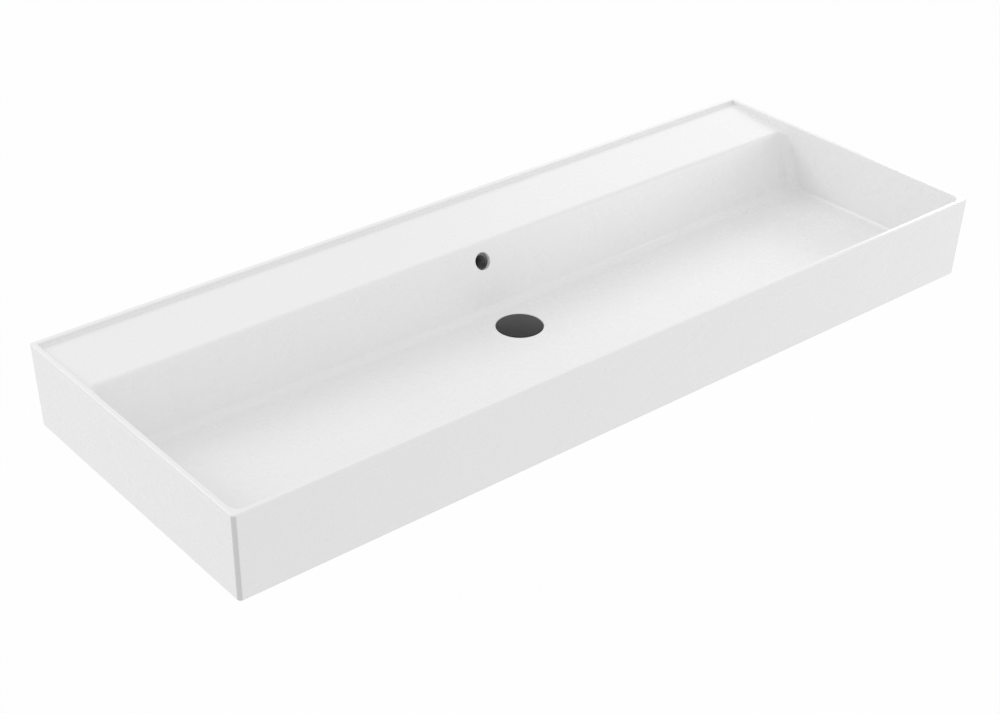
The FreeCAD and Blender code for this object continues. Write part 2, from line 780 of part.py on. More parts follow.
def basin():
    block = joined("hollow_block", "Part::Cut", outer_form(), hollow_core())
    block = fused("bossed_block", [block] + inner_bosses())
    for tool in openings():
        block = joined("less_" + tool.Name, "Part::Cut", block, tool)
    block = deck_edge_round(block)
    body = new_body("basin")
    body.BaseFeature = block
    doc.recompute()
    top, bottom = value("Places.top"), value("Places.bottom")
    tiny = value("Sizes.running_gap")
    rim = edges_where(body.Shape, lambda edge: edge.BoundBox.ZMin > top - tiny)
    round_edges(body, "rim_rounded", body.Tip, rim, "Sizes.rim_round")
    side, front = value("Places.skirt_half") + tiny, value("Places.skirt_front") - tiny
    foot = edges_where(body.Shape, lambda edge: edge.BoundBox.ZMax < bottom + tiny and
                       (abs(edge.CenterOfMass.x) > side or edge.CenterOfMass.y < front))
    round_edges(body, "foot_rounded", body.Tip, foot, "Sizes.foot_round")
    mouth = edges_where(body.Shape, at_recess_mouth)
    round_edges(body, "recess_rounded", body.Tip, mouth, "Sizes.recess_round")
    mouth = edges_where(body.Shape, at_overflow_mouth)
    round_edges(body, "overflow_rounded", body.Tip, mouth, "Sizes.overflow_round")
    return body


# The push-open waste, drawn on its own axis with the bowl's floor at height 0

def at_drain(body, up="0"):
    place(body, "0", "-Sizes.drain_inset", "Places.floor + (%s)" % up)
    doc.recompute()
    return body


def waste_cap():
    """The round cover, with a rib that holds its seal and a hub for the stem."""
    edge, bottom = "Sizes.cap_diameter / 2", "-Sizes.cap_thickness"
    rib, rib_end = "Sizes.cap_seal_inner / 2", "-(Sizes.cap_thickness + Sizes.seal_rib_height)"
    bore, bore_end = "Sizes.stud_diameter / 2 + Sizes.seat_gap", "Places.stem_top + Sizes.stud_length" \
        " + Sizes.seat_gap"
    return at_drain(turned("waste_cap", (
        ("0", "0"), (edge, "0", "Sizes.cap_round"), (edge, bottom), (rib, bottom), (rib, rib_end),
        (rib + " - Sizes.seal_rib", rib_end), (rib + " - Sizes.seal_rib", bottom),
        ("Sizes.cap_hub / 2", bottom), ("Sizes.cap_hub / 2", "Places.stem_top"),
        (bore, "Places.stem_top"), (bore, bore_end), ("0", bore_end))))


def cap_seal():
    return at_drain(ring("cap_seal", "Sizes.cap_seal_inner / 2", "Sizes.cap_seal_outer / 2",
                         "-(Sizes.cap_thickness + Sizes.cap_seal_thickness)", "-Sizes.cap_thickness"))


def plug_stem():
    """The pin that runs in the cartridge, with a stud that screws into the cover."""
    radius, stud = "Sizes.stem_diameter / 2", "Sizes.stud_diameter / 2"
    stud_end = "Places.stem_top + Sizes.stud_length"
    return at_drain(turned("plug_stem", (
        ("0", "Places.stem_end"), (radius, "Places.stem_end", "Sizes.cap_round"),
        (radius, "Places.stem_top"), (stud, "Places.stem_top"), (stud, stud_end), ("0", stud_end))))


def waste_body():
    """Flange, throat and tail in one casting, with overflow windows and a three-armed spider."""
    tail, bore, flange = "Sizes.tail_diameter / 2", "Places.tail_bore / 2", "Sizes.flange_diameter / 2"
    under = "Places.flange_top - Sizes.flange_thickness"
    waist = "Sizes.tail_diameter / 2 - Sizes.trim_groove_depth"
    groove_end = "Places.groove_top - Sizes.trim_groove_width"
    body = turned("waste_body", (
        (bore, "Places.flange_top", "Sizes.throat_radius"), (flange, "Places.flange_top"),
        (flange, under), (tail, under), (tail, "Places.groove_top"), (waist, "Places.groove_top"),
        (waist, groove_end), (tail, groove_end), (tail, "Places.tail_end"), (bore, "Places.tail_end")))
    window = sketch_on(body, "window", "XZ_Plane")
    half, rise = "Sizes.window_width / 2", "Sizes.window_height / 2"
    outline(window, [("%s%s" % (side, half), "Places.inlet_level %s %s" % (way, rise), "Sizes.window_round")
                     for side, way in (("-", "-"), ("", "-"), ("", "+"), ("-", "+"))])
    cut = pocket(body, "window_cut", window, "Sizes.tail_diameter")
    around(body, "windows", cut, "Sizes.window_count")
    arm = sketch_on(body, "arm", "XY_Plane", "Places.spider_top")
    reach = "Places.tail_bore / 2 + Sizes.tail_wall / 2"
    outline(arm, (("-Sizes.spider_arm / 2", "0"), ("Sizes.spider_arm / 2", "0"),
                  ("Sizes.spider_arm / 2", reach), ("-Sizes.spider_arm / 2", reach)))
    arm_pad = pad(body, "arm_pad", arm, "Sizes.spider_height", reverse=True)
    around(body, "arms", arm_pad, "Sizes.spider_arms")
    hub = sketch_on(body, "hub", "XY_Plane", "Places.spider_top")
    circle(hub, "Sizes.spider_hub")
    pad(body, "hub_pad", hub, "Sizes.spider_height", reverse=True)
    eye = sketch_on(body, "eye", "XY_Plane", "Places.spider_top")
    circle(eye, "Sizes.cartridge_diameter + 2 * Sizes.running_gap")
    pocket(body, "eye_cut", eye, "Sizes.spider_height")
    return at_drain(body)


def flange_seal():
    under = "Places.flange_top - Sizes.flange_thickness"
    return at_drain(ring("flange_seal", "Sizes.drain_bore / 2", "Sizes.flange_diameter / 2",
                         "Places.recess_bottom", under))


def plug_cartridge():
    """The sleeve of the push-push mechanism, closed below, with a collar that sits on the spider."""
    bore, body_radius = "Places.stem_bore / 2", "Sizes.cartridge_diameter / 2"
    end = "Places.cartridge_top - Sizes.cartridge_length"
    return at_drain(turned("plug_cartridge", (
        (bore, "Places.cartridge_top"), ("Sizes.cartridge_collar / 2", "Places.cartridge_top"),
        ("Sizes.cartridge_collar / 2", "Places.spider_top"), (body_radius, "Places.spider_top"),
        (body_radius, end), ("0", end), ("0", "Places.spring_foot"), (bore, "Places.spring_foot"))))


def plug_spring():
    """The spring between the cartridge's foot and the stem."""
    body = new_body("plug_spring")
    sketch = sketch_on(body, "wire", "XZ_Plane")
    circle(sketch, "Sizes.spring_wire", "Places.stem_bore / 2 - Sizes.spring_slack - Sizes.spring_wire / 2",
           "Places.spring_foot + Sizes.spring_wire / 2")
    coil = body.newObject("PartDesign::AdditiveHelix", "coil")
    coil.Profile = sketch
    coil.ReferenceAxis = (sketch, ["V_Axis"])
    coil.Mode = "height-turns-angle"
    coil.setExpression("Height", "Places.stem_end - Places.spring_foot - Sizes.spring_wire")
    coil.setExpression("Turns", "Sizes.spring_turns")
    return at_drain(body)


def overflow_collar():
    """The ring that catches the overflow round the tail's windows, with its inlet towards the wall."""
    low, high = "Places.collar_bottom", "Places.collar_top"
    outer, inner = "Sizes.collar_diameter / 2", "Places.tail_clear"
    body = turned("overflow_collar", ((inner, low), (outer, low, "Sizes.collar_round"),
                                      (outer, high, "Sizes.collar_round"), (inner, high)))
    start = "Sizes.collar_diameter / 2 - 2 * Sizes.collar_wall"
    spigot = sketch_on(body, "spigot", "XZ_Plane", "-(%s)" % start)
    circle(spigot, "Sizes.spigot_diameter", "0", "Places.inlet_level")
    pad(body, "spigot_pad", spigot, "Sizes.inlet_reach - (%s)" % start, reverse=True)
    for name, bore, depth in (("inlet", "Sizes.inlet_bore", "Sizes.inlet_reach - Sizes.tail_diameter / 2"),
                              ("socket", "Places.pipe_out", "Sizes.pipe_socket")):
        sketch = sketch_on(body, name, "XZ_Plane", "-Sizes.inlet_reach")
        circle(sketch, bore, "0", "Places.inlet_level")
        pocket(body, name + "_cut", sketch, depth, reverse=True)
    channel = sketch_on(body, "channel", "XZ_Plane")
    wall = "Sizes.collar_diameter / 2 - Sizes.collar_wall"
    outline(channel, (("Sizes.tail_diameter / 2", low + " + Sizes.collar_wall"),
                      (wall, low + " + Sizes.collar_wall"), (wall, high + " - Sizes.collar_wall"),
                      ("Sizes.tail_diameter / 2", high + " - Sizes.collar_wall")))
    turned_groove(body, "channel_cut", channel)
    return at_drain(body)


def collar_seals():
    upper = ring("collar_upper_seal", "Places.tail_clear", "Sizes.upper_seal_diameter / 2",
                 "Places.collar_top", "Places.boss_bottom")
    lower = ring("collar_lower_seal", "Places.tail_clear", "Sizes.lower_seal_diameter / 2",
                 "Places.collar_bottom - Sizes.collar_seal", "Places.collar_bottom")
    washer = ring("slide_washer", "Places.tail_clear", "Sizes.lower_seal_diameter / 2",
                  "Places.nut_top", "Places.collar_bottom - Sizes.collar_seal")
    return [at_drain(item) for item in (upper, lower, washer)]


def hex_nut(label, flats, height, bore):
    """A nut that hangs from height 0, its corners taken off at both ends."""
    body = new_body(label)
    sketch = sketch_on(body, label + "_hexagon", "XY_Plane")
    corner, side = "%s / sqrt(3)" % flats, "%s / 2" % flats
    outline(sketch, ((corner, "0"), (corner + " / 2", side), ("-%s / 2" % corner, side),
                     ("-" + corner, "0"), ("-%s / 2" % corner, "-" + side), (corner + " / 2", "-" + side)))
    pad(body, label + "_block", sketch, height, reverse=True)
    hole = sketch_on(body, label + "_hole", "XY_Plane")
    circle(hole, bore)
    pocket(body, label + "_bore", hole, height)
    reach = "%s * Sizes.nut_corner_share" % flats
    fall = "(%s - %s) * tan(Sizes.nut_corner_angle)" % (reach, side)
    for name, face, inward in (("upper", "0", "-%s" % fall),
                               ("lower", "-(%s)" % height, "-(%s) + %s" % (height, fall))):
        bevel = sketch_on(body, "%s_%s" % (label, name), "XZ_Plane")
        outline(bevel, ((side, face), (reach, face), (reach, inward)))
        turned_groove(body, "%s_%s_bevel" % (label, name), bevel)
    return body


def back_nut():
    return at_drain(hex_nut("back_nut", "Sizes.nut_flats", "Sizes.nut_height", "2 * Places.tail_clear"),
                    "Places.nut_top")


# The overflow, from the hole in the bowl's rear wall to the collar

def overflow_elbow():
    """From behind the hole into the pipe, with a shoulder that stops it at the ceramic boss."""
    start = along_hole("Places.elbow_start")
    corners = (start, ("Places.pipe_line", "Places.elbow_level", "Sizes.elbow_bend"),
               ("Places.pipe_line", "Places.elbow_end"))
    body, path = piped("overflow_elbow", corners, "Sizes.spigot_diameter", "Sizes.elbow_bore")
    shoulder = sketch_across(body, "shoulder", path, "-Sizes.socket_depth")
    circle(shoulder, "Sizes.elbow_shoulder")
    circle(shoulder, "Sizes.elbow_bore")
    pad(body, "shoulder_pad", shoulder, "Sizes.elbow_shoulder_width", reverse=True)
    outlet = sketch_on(body, "outlet", "XY_Plane", "Places.elbow_end")
    circle(outlet, "Places.pipe_out", "0", "Places.pipe_line")
    pocket(body, "outlet_cut", outlet, "Sizes.pipe_socket", reverse=True)
    return body


def overflow_seal():
    body = ring("overflow_seal", "Sizes.spigot_diameter / 2 + Sizes.seat_gap",
                "Sizes.socket_bore / 2 - Sizes.seat_gap", "0", "Sizes.overflow_seal_length")
    along, up = along_hole("Sizes.overflow_seal_place")
    place(body, "0", along, up, INTO_HOLE)
    return body


def overflow_pipe():
    reach = "Sizes.pipe_socket - Sizes.rest_gap"
    level = "Places.floor + Places.inlet_level"
    corners = (("Places.pipe_line", "Places.elbow_end + " + reach),
               ("Places.pipe_line", level, "Sizes.pipe_bend"),
               ("Places.inlet_end - (%s)" % reach, level))
    return piped("overflow_pipe", corners, "Sizes.pipe_diameter",
                 "Sizes.pipe_diameter - 2 * Sizes.pipe_wall")[0]


def union_nut(label):
    """A ribbed cup over the end of a spigot, which ends at height 0."""
    cup, outer = "Sizes.spigot_diameter / 2 + Sizes.seat_gap", "Sizes.union_diameter / 2"
    eye, end = "Places.pipe_out / 2 + Sizes.seat_gap", "Places.union_end + Sizes.union_wall"
    body = turned(label, ((cup, "-Sizes.union_grip"), (outer, "-Sizes.union_grip"),
                          (outer, end, "Sizes.collar_round"), (eye, end),
                          (eye, "Places.union_end"), (cup, "Places.union_end")))
    rib = sketch_on(body, label + "_rib", "XY_Plane", "-Sizes.union_grip")
    half = "Sizes.union_rib_width / 2"
    near, far = outer + " - Sizes.union_rib", outer + " + Sizes.union_rib"
    outline(rib, ((near, "-" + half), (far, "-" + half), (far, half), (near, half)))
    rib_pad = pad(body, label + "_rib_pad", rib, "Sizes.union_grip + Places.union_end")
    around(body, label + "_ribs", rib_pad, "Sizes.union_ribs")
    return body


def union_cone(label):
    """The tapered washer that the nut presses on the spigot's end."""
    inner, outer = "Sizes.pipe_diameter / 2 + Sizes.seat_gap", "Sizes.spigot_diameter / 2 - Sizes.seat_gap"
    low, high = "Sizes.seat_gap", "Places.union_end - Sizes.seat_gap"
    return turned(label, ((inner, low), (inner + " + Sizes.cone_tip", low), (outer, high), (inner, high)))


def unions(label, make):
    """One piece under the elbow and one at the collar's inlet, as one group of two solids."""
    upper, lower = make(label + "_upper"), make(label + "_lower")
    place(upper, "0", "Places.pipe_line", "Places.elbow_end", DOWN)
    place(lower, "0", "Places.inlet_end", "Places.floor + Places.inlet_level", TO_WALL)
    return group(label, [upper, lower])


# The wall fixings, drawn with height 0 at the wall and placed at the right-hand bolt

def at_bolt(label, body, along="0"):
    place(body, "Sizes.fixing_spacing / 2", along, "0", TO_WALL)
    doc.recompute()
    return pair(label, body)


def hanger_bolts():
    """A machine thread for the nut inside, and a thicker end for the wall plug."""
    thread, shank = "Sizes.bolt_thread_diameter / 2", "Sizes.bolt_diameter / 2"
    head = "Places.boss_face - Sizes.bolt_inside"
    return at_bolt("hanger_bolts", turned("hanger_bolt", (
        ("0", head), (thread, head, "Sizes.bolt_round"), (thread, "0"), (shank, "0"),
        (shank, "Sizes.bolt_outside - Sizes.bolt_tip"),
        ("Sizes.bolt_tip_diameter / 2", "Sizes.bolt_outside"), ("0", "Sizes.bolt_outside"))))


def fixing_sleeves():
    bore, outer = "Sizes.sleeve_bore / 2", "Sizes.fixing_hole / 2 - Sizes.sleeve_gap"
    return at_bolt("fixing_sleeves", turned("fixing_sleeve", (
        (bore, "-Sizes.sleeve_short"), (outer, "-Sizes.sleeve_short"), (outer, "Places.boss_face"),
        ("Sizes.sleeve_flange / 2", "Places.boss_face"), ("Sizes.sleeve_flange / 2", "Places.sleeve_face"),
        (bore, "Places.sleeve_face"))))


def fixing_washers():
    return at_bolt("fixing_washers", ring("fixing_washer", "Sizes.washer_bore / 2",
                                          "Sizes.washer_diameter / 2", "Places.washer_face",
                                          "Places.sleeve_face"))


def fixing_nuts():
    return at_bolt("fixing_nuts", hex_nut("fixing_nut", "Sizes.bolt_nut_flats", "Sizes.bolt_nut_height",
                                          "Sizes.bolt_nut_bore"), "Places.washer_face")


# Build, check and write

def export(item):
    if item.State != ["Up-to-date"] or item.Shape.isNull() or not item.Shape.isValid():
        raise RuntimeError("%s is not sound: %s" % (item.Label, item.State))
    item.Shape.exportStep("parts/%s.step" % item.Label)
    print(item.Label, len(item.Shape.Solids), round(item.Shape.Volume, 1))


os.makedirs("parts", exist_ok=True)
fill_sheets()
nodes = [basin(), waste_cap(), cap_seal(), plug_stem(), waste_body(), flange_seal(), plug_cartridge(),
         plug_spring(), overflow_collar(), back_nut(), overflow_elbow(), overflow_seal(), overflow_pipe(),
         unions("union_nuts", union_nut), unions("union_cones", union_cone),
         hanger_bolts(), fixing_sleeves(), fixing_washers(), fixing_nuts()]
nodes += collar_seals()
doc.recompute()
for thing in doc.Objects:
    if "Invalid" in thing.State or "Error" in thing.State:
        raise RuntimeError("%s is not sound: %s" % (thing.Label, thing.State))
for node in nodes:
    export(node)
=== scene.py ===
import math

import bpy
from mathutils import Matrix, Vector


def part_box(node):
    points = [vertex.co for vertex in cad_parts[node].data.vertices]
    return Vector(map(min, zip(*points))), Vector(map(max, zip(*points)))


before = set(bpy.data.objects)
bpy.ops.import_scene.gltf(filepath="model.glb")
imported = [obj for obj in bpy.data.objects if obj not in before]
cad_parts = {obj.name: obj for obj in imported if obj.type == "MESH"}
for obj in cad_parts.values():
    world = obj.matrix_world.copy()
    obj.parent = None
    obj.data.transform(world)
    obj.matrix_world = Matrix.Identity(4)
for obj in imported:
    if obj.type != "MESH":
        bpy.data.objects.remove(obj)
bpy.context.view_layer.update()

MM = 0.001

# The photograph's camera: its place in metres, its angles, and its lens and sensor in millimetres

CAMERA_PLACE = Vector((-1.3882, -1.8724, 1.2121))
CAMERA_AZIMUTH = math.radians(-39.12)
CAMERA_ELEVATION = math.radians(30.97)
CAMERA_ROLL = math.radians(0.12)
CAMERA_LENS = 67.39
SENSOR_WIDTH = 36.0

# Places on the part, in metres in the frame

BASIN_LOW, BASIN_HIGH = (Vector(corner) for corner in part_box("basin"))
COVER_LOW, COVER_HIGH = (Vector(corner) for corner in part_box("waste_cap"))
TAIL_LOW, TAIL_HIGH = (Vector(corner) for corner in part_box("waste_body"))
BOLT_LOW, BOLT_HIGH = (Vector(corner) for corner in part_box("hanger_bolts"))
ELBOW_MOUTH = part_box("overflow_elbow")[0][1]
DRAIN = (COVER_LOW + COVER_HIGH) / 2
MIDDLE = Vector((0, (BASIN_LOW.y + BASIN_HIGH.y) / 2, 0))
RIGHT_DECK = Vector((0.55, -0.06, 0.05))
RIGHT_REAR = Vector((0.5, -0.1, 0.05))

# The bolts lie level at z = 0, so the top of their box is their radius

BOLT_RADIUS = BOLT_HIGH.z
BOLT_AXIS = BOLT_HIGH.x - BOLT_RADIUS

# The floor: how far it lies below the basin's top, and half its width

FLOOR_DROP = 0.85
FLOOR_REACH = 6.0

# How white the floor is to the rays that see it as white, and the strength of the light all round

FLOOR_GLOW = 0.95
SURROUND_LEVEL = 0.84


# Node trees

def grey(level):
    return (level, level, level)


class Tree:
    """The nodes of a material or a world, with short calls to add and join them."""

    def __init__(self, owner):
        owner.use_nodes = True
        self.owner = owner
        self.nodes = owner.node_tree.nodes
        self.links = owner.node_tree.links
        output = self.nodes.get("Material Output") or self.nodes["World Output"]
        self.surface = output.inputs["Surface"]
        self.shader = self.surface.links[0].from_node

    def add(self, kind, **settings):
        node = self.nodes.new(kind)
        for name, setting in settings.items():
            setattr(node, name, setting)
        return node

    def feed(self, socket, source):
        """A socket gets a node's output, a plain number or a colour."""
        if isinstance(source, bpy.types.NodeSocket):
            self.links.new(source, socket)
        elif isinstance(source, tuple):
            socket.default_value = (*source, 1)
        else:
            socket.default_value = source

    def set(self, **sources):
        """The shader's own sockets by name, with _ for a space."""
        for name, source in sources.items():
            self.feed(self.shader.inputs[name.replace("_", " ")], source)

    def point(self):
        return self.add("ShaderNodeTexCoord").outputs["Object"]

    def noise(self, scale, detail, roughness=0.5):
        node = self.add("ShaderNodeTexNoise")
        self.feed(node.inputs["Scale"], scale)
        self.feed(node.inputs["Detail"], detail)
        self.feed(node.inputs["Roughness"], roughness)
        self.feed(node.inputs["Vector"], self.point())
        return node.outputs["Fac"]

    def spread(self, factor, low, high):
        """A factor from 0 to 1 spread between two numbers."""
        node = self.add("ShaderNodeMapRange")
        self.feed(node.inputs["To Min"], low)
        self.feed(node.inputs["To Max"], high)
        self.feed(node.inputs["Value"], factor)
        return node.outputs["Result"]

    def step(self, value, low, high):
        """0 below low, 1 above high, smooth between."""
        node = self.add("ShaderNodeMapRange", interpolation_type="SMOOTHSTEP")
        self.feed(node.inputs["From Min"], low)
        self.feed(node.inputs["From Max"], high)
        self.feed(node.inputs["Value"], value)
        return node.outputs["Result"]

    def math(self, operation, first, second=None):
        node = self.add("ShaderNodeMath", operation=operation)
        self.feed(node.inputs[0], first)
        if second is not None:
            self.feed(node.inputs[1], second)
        return node.outputs["Value"]

    def opposite(self, factor):
        return self.math("SUBTRACT", 1, factor)

    def product(self, *factors):
        result = factors[0]
        for factor in factors[1:]:
            result = self.math("MULTIPLY", result, factor)
        return result

    def blend(self, factor, first, second):
        """The first colour where the factor is 0 and the second where it is 1."""
        node = self.add("ShaderNodeMix", data_type="RGBA")
        self.feed(node.inputs["A"], first)
        self.feed(node.inputs["B"], second)
        self.feed(node.inputs["Factor"], factor)
        return node.outputs["Result"]

    def bump(self, height, distance):
        node = self.add("ShaderNodeBump")
        self.feed(node.inputs["Distance"], distance)
        self.feed(node.inputs["Height"], height)
        self.set(Normal=node.outputs["Normal"])

    def part_of(self, vector, axis):
        node = self.add("ShaderNodeSeparateXYZ")
        self.feed(node.inputs["Vector"], vector)
        return node.outputs[axis]

    def along(self, axis):
        return self.part_of(self.point(), axis)

    def onward(self, axis, start, stretch):
        """0 to 1 along an axis, over a stretch that is measured from a start."""
        return self.step(self.along(axis), start + stretch[0], start + stretch[1])

    def facing(self, axis):
        return self.part_of(self.add("ShaderNodeNewGeometry").outputs["Normal"], axis)


def new_material(name):
    return Tree(bpy.data.materials.new(name))


# Materials

def painted_corner_shade(tree):
    """1 on the rounded upright corners at the front, where a strip of painted shade goes."""
    turned, tilted = (0.08, 0.18), (0.15, 0.35)
    near_front = (30 * MM, 35 * MM)

    sideways = tree.step(tree.math("ABSOLUTE", tree.facing("X")), *turned)
    forwards = tree.step(tree.product(tree.facing("Y"), -1), *turned)
    upright = tree.opposite(tree.step(tree.facing("Z"), *tilted))
    near = tree.opposite(tree.onward("Y", BASIN_LOW.y, near_front))
    return tree.product(sideways, forwards, upright, near)


def white_glaze():
    """Thick white glaze that thins to a bare, matt body on the foot and on the wall face, with a strip of
    painted shade on the front upright corners.
    """
    foot_line, wall_line = (0.4 * MM, 1.6 * MM), (-0.8 * MM, -0.2 * MM)
    rim_line, rim_gloss = (-6 * MM, -3 * MM), 0.09
    shades, corner_shade_grey, bare_body = (grey(0.865), grey(0.885)), grey(0.67), (0.74, 0.72, 0.68)
    roughness, bare_roughness = (0.24, 0.31), 0.8
    wave_height = 0.03 * MM

    tree = new_material("white_glaze")
    tree.set(IOR=1.5, Specular_IOR_Level=0.5)
    bare = tree.math("MAXIMUM", tree.opposite(tree.onward("Z", BASIN_LOW.z, foot_line)),
                     tree.onward("Y", BASIN_HIGH.y, wall_line))
    glaze = tree.blend(tree.noise(scale=9, detail=2), *shades)
    dressed = tree.blend(bare, glaze, bare_body)
    rim = tree.onward("Z", BASIN_HIGH.z, rim_line)
    glazed = tree.math("SUBTRACT", tree.spread(tree.noise(scale=26, detail=4), *roughness),
                       tree.product(rim, rim_gloss))
    # Painted shade: the front upright corners turn darker grey, standing in for a dark reflection on them.
    tree.set(Base_Color=tree.blend(painted_corner_shade(tree), dressed, corner_shade_grey),
             Roughness=tree.math("MAXIMUM", glazed, tree.product(bare, bare_roughness)))
    tree.bump(tree.noise(scale=45, detail=2, roughness=0.4), wave_height)
    return tree.owner


def cover_grey():
    """Dark satin coating with a painted reflection: a little lighter towards the right rear."""
    reflection_way, half_width = (0.63, 0.78), 40 * MM
    reflection_share, patch_share = 0.9, 0.1
    shades, roughness = (grey(0.006), (0.072, 0.072, 0.073)), (0.26, 0.34)
    grain_height = 0.006 * MM

    tree = new_material("cover_grey")
    # Painted reflection: the grey lightens towards the right rear, with random patches added on top.
    way = tree.math("ADD", tree.product(tree.along("X"), reflection_way[0]),
                    tree.product(tree.math("SUBTRACT", tree.along("Y"), DRAIN.y), reflection_way[1]))
    rear = tree.product(tree.step(way, -half_width, half_width), reflection_share)
    painted_light_and_patches = tree.math("ADD", rear, tree.product(tree.noise(scale=60, detail=4), patch_share))
    tree.set(Specular_IOR_Level=0.18,
             Base_Color=tree.blend(painted_light_and_patches, *shades),
             Roughness=tree.spread(tree.noise(scale=300, detail=3), *roughness))
    tree.bump(tree.noise(scale=1800, detail=2), grain_height)
    return tree.owner


def moulded(name, shades, roughness, grain=700):
    """Moulded plastic or rubber with a fine grain."""
    grain_height = 0.02 * MM

    tree = new_material(name)
    tree.set(Base_Color=tree.blend(tree.noise(scale=24, detail=4), *shades),
             Roughness=tree.spread(tree.noise(scale=90, detail=4), *roughness))
    tree.bump(tree.noise(scale=grain, detail=2), grain_height)
    return tree.owner


def bore_lit_plastic():
    """Black plastic of the overflow elbow, with painted light in its bore: a lighter grey that lifts the
    bore's shade.
    """
    painted_light_starts, painted_light_ends = (1 * MM, 11 * MM), (12 * MM, 40 * MM)
    painted_light_at_mouth, patches = 0.08, (0.8, 1.0)
    shades, roughness = (grey(0.015), grey(0.34)), (0.4, 0.52)
    grain_height = 0.02 * MM

    tree = new_material("bore_lit_plastic")
    # Painted light: the bore turns lighter grey inwards from the mouth, where it lies in shade, then dark
    # again deeper in, with random patches.
    inwards = tree.spread(tree.onward("Y", ELBOW_MOUTH, painted_light_starts), painted_light_at_mouth, 1)
    painted_bore_light = tree.product(inwards, tree.opposite(tree.onward("Y", ELBOW_MOUTH, painted_light_ends)))
    painted_light_and_patches = tree.product(painted_bore_light, tree.spread(tree.noise(scale=120, detail=4), *patches))
    tree.set(Base_Color=tree.blend(painted_light_and_patches, *shades),
             Roughness=tree.spread(tree.noise(scale=90, detail=4), *roughness))
    tree.bump(tree.noise(scale=700, detail=2), grain_height)
    return tree.owner


def threads(tree, turn, axis, pitch, low, high):
    """A thread between two places along its axis: 1 on its ridges, half in its grooves, 0 beyond its ends."""
    run_out = 1 * MM

    along = tree.along(axis)
    phase = tree.math("FRACT", tree.math("ADD", tree.math("DIVIDE", along, pitch),
                                         tree.math("DIVIDE", turn, math.tau)))
    ridge = tree.opposite(tree.math("ABSOLUTE", tree.math("SUBTRACT", phase, 0.5)))
    begins = tree.step(along, low, low + run_out)
    ends = tree.opposite(tree.step(along, high - run_out, high))
    return tree.product(ridge, begins, ends)


def plated(name, shades, roughness, shade_scale=80, gloss_scale=220):
    """Plated metal in two close shades, with a patchy gloss."""
    tree = new_material(name)
    tree.set(Metallic=1.0, Base_Color=tree.blend(tree.noise(scale=shade_scale, detail=4), *shades),
             Roughness=tree.spread(tree.noise(scale=gloss_scale, detail=4), *roughness))
    return tree


def plated_brass():
    """Bright plating on the waste, with the tail's thread."""
    pitch, depth = 2.3 * MM, 0.9 * MM
    low, high = TAIL_LOW.z + 1 * MM, TAIL_HIGH.z - 12 * MM
    shades, roughness = ((0.58, 0.58, 0.585), (0.68, 0.68, 0.685)), (0.16, 0.26)

    tree = plated("plated_brass", shades, roughness, shade_scale=40, gloss_scale=160)
    turn = tree.math("ARCTAN2", tree.math("SUBTRACT", tree.along("Y"), DRAIN.y), tree.along("X"))
    tree.bump(threads(tree, turn, "Z", pitch, low, high), depth)
    return tree.owner


def bolt_steel():
    """Zinc-plated bolts: a fine thread inside, and a coarse one where they are in the wall."""
    fine_pitch, fine_depth, fine_start, wall_face = 1.5 * MM, 0.8 * MM, BOLT_LOW.y + 1 * MM, 0
    coarse_pitch, coarse_gain = 4.2 * MM, 2
    coarse_start, coarse_end = 16 * MM, BOLT_HIGH.y - 2 * MM
    shades, roughness = ((0.48, 0.49, 0.5), grey(0.6)), (0.25, 0.38)

    tree = plated("bolt_steel", shades, roughness)
    side = tree.math("SUBTRACT", tree.math("ABSOLUTE", tree.along("X")), BOLT_AXIS)
    turn = tree.math("ARCTAN2", tree.along("Z"), side)
    fine = threads(tree, turn, "Y", fine_pitch, fine_start, wall_face)
    coarse = threads(tree, turn, "Y", coarse_pitch, coarse_start, coarse_end)
    tree.bump(tree.math("ADD", fine, tree.product(coarse, coarse_gain)), fine_depth)
    return tree.owner


def zinc_steel():
    """Zinc plating with a very fine grain."""
    shades, roughness, grain_height = ((0.5, 0.5, 0.51), grey(0.6)), (0.24, 0.36), 0.01 * MM

    tree = plated("zinc_steel", shades, roughness)
    tree.bump(tree.noise(scale=900, detail=2), grain_height)
    return tree.owner


# Each material and the nodes that it goes on

FINISHES = (
    (white_glaze(), ("basin",)),
    (cover_grey(), ("waste_cap",)),
    (plated_brass(), ("waste_body",)),
    (bolt_steel(), ("hanger_bolts",)),
    (zinc_steel(), ("plug_stem", "plug_spring", "fixing_washers", "fixing_nuts")),
    (moulded("black_plastic", (grey(0.012), grey(0.02)), (0.37, 0.48)),
     ("overflow_collar", "back_nut", "union_nuts")),
    (bore_lit_plastic(), ("overflow_elbow",)),
    (moulded("pale_plastic", ((0.6, 0.6, 0.58), (0.68, 0.68, 0.66)), (0.29, 0.4)),
     ("plug_cartridge", "slide_washer", "overflow_pipe", "fixing_sleeves")),
    (moulded("seal_rubber", (grey(0.014), grey(0.024)), (0.55, 0.66), grain=400),
     ("cap_seal", "flange_seal", "collar_upper_seal", "collar_lower_seal", "overflow_seal",
      "union_cones")),
)

for finish, names in FINISHES:
    for name in names:
        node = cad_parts[name]
        node.data.materials.clear()
        node.data.materials.append(finish)


# Floor, light and camera

def sees_white(tree):
    """1 for the rays that see the surround as white: the camera's, and those off gloss or through glass."""
    rays = tree.add("ShaderNodeLightPath").outputs
    bounced = tree.math("MAXIMUM", rays["Is Glossy Ray"], rays["Is Transmission Ray"])
    return tree.math("MAXIMUM", rays["Is Camera Ray"], bounced)


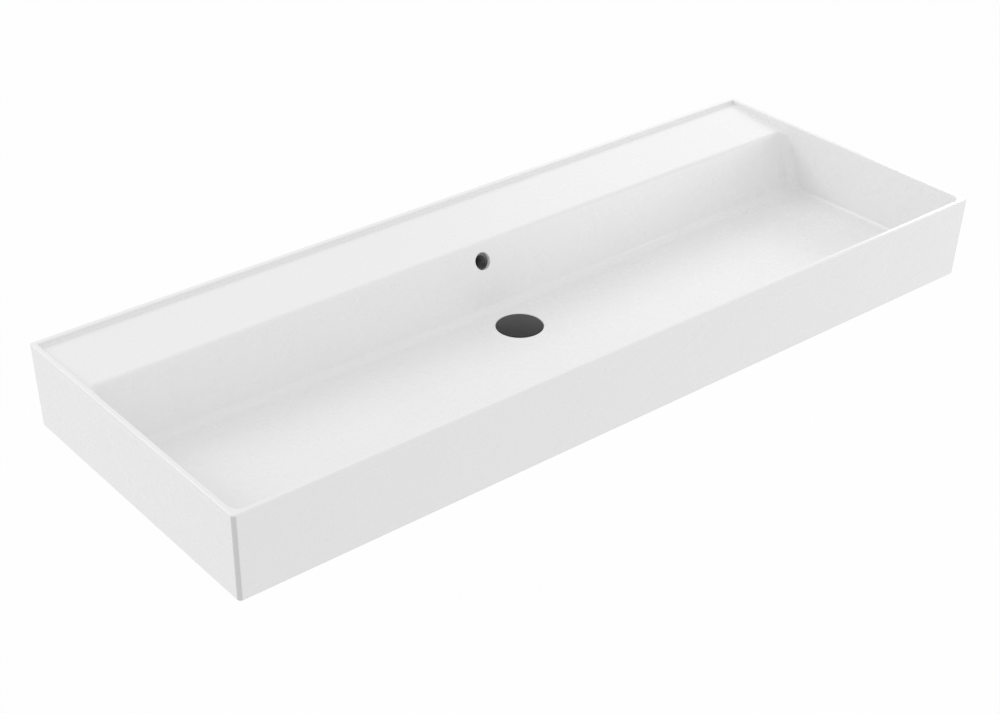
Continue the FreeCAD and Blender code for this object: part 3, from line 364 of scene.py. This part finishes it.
def pale_floor():
    """A pale floor that the camera and glossy surfaces see as nearly white, with the object's shadow on it."""
    level = BASIN_HIGH.z - FLOOR_DROP
    mesh = bpy.data.meshes.new("floor")
    corners = [(-1, -1), (1, -1), (1, 1), (-1, 1)]
    mesh.from_pydata([(x * FLOOR_REACH, y * FLOOR_REACH, level) for x, y in corners], [], [(0, 1, 2, 3)])
    floor = bpy.data.objects.new("floor", mesh)
    bpy.context.scene.collection.objects.link(floor)

    tree = new_material("pale_floor")
    tree.set(Base_Color=tree.blend(tree.noise(scale=3, detail=3), grey(0.80), grey(0.82)), Roughness=0.9)
    glow = tree.add("ShaderNodeEmission")
    tree.feed(glow.inputs["Strength"], 1.0)
    mix = tree.add("ShaderNodeMixShader")
    tree.feed(mix.inputs["Fac"], tree.product(sees_white(tree), FLOOR_GLOW))
    tree.feed(mix.inputs[1], tree.shader.outputs["BSDF"])
    tree.feed(mix.inputs[2], glow.outputs["Emission"])
    tree.feed(tree.surface, mix.outputs["Shader"])
    mesh.materials.append(tree.owner)


def soft_world():
    """An even pale surround that the camera and glossy surfaces see as white."""
    world = bpy.data.worlds.new("surround")
    bpy.context.scene.world = world
    tree = Tree(world)
    tree.set(Color=grey(1.0), Strength=tree.spread(sees_white(tree), SURROUND_LEVEL, 1.0))


def towards(azimuth, elevation):
    """The direction at an azimuth from the front and an elevation."""
    level = math.cos(elevation)
    return Vector((level * math.sin(azimuth), -level * math.cos(azimuth), math.sin(elevation)))


def round_middle(azimuth, elevation, distance):
    """A place round the basin's middle, its two angles in degrees."""
    return MIDDLE + distance * towards(math.radians(azimuth), math.radians(elevation))


# A soft lamp's name, its place, what it points at, its width and height in metres, and its watts

LAMPS = (
    ("front_right", round_middle(51, 10, 2.6), MIDDLE, (1.2, 1.2), 6.9),
    ("left_rear", round_middle(-140, 30, 6.0), MIDDLE, (2.0, 2.0), 56.0),
    ("right_rear", Vector((2.22, 1.50, 1.07)), RIGHT_DECK, (1.2, 1.0), 1.8),
    ("right_end", Vector((1.6, 0.25, 0.5)), RIGHT_REAR, (0.35, 0.35), 2.4),
)


def soft_light(name, place, target, size, watts):
    lamp = bpy.data.lights.new(name, "AREA")
    lamp.shape = "RECTANGLE"
    lamp.size, lamp.size_y = size
    lamp.energy = watts
    item = bpy.data.objects.new(name, lamp)
    item.location = place
    item.rotation_euler = (target - place).to_track_quat("-Z", "Y").to_euler()
    bpy.context.scene.collection.objects.link(item)


def photo_camera():
    back = towards(CAMERA_AZIMUTH, CAMERA_ELEVATION)
    right = (-back).cross(Vector((0, 0, 1))).normalized()
    up = back.cross(right)
    roll = Matrix.Rotation(CAMERA_ROLL, 3, back)
    axes = Matrix((roll @ right, roll @ up, back)).transposed()
    camera = bpy.data.cameras.new("camera")
    camera.lens = CAMERA_LENS
    camera.sensor_fit = "HORIZONTAL"
    camera.sensor_width = SENSOR_WIDTH
    item = bpy.data.objects.new("camera", camera)
    bpy.context.scene.collection.objects.link(item)
    item.matrix_world = Matrix.Translation(CAMERA_PLACE) @ axes.to_4x4()
    bpy.context.scene.camera = item


pale_floor()
soft_world()
for lamp in LAMPS:
    soft_light(*lamp)
photo_camera()
bpy.context.scene.view_settings.view_transform = "Standard"
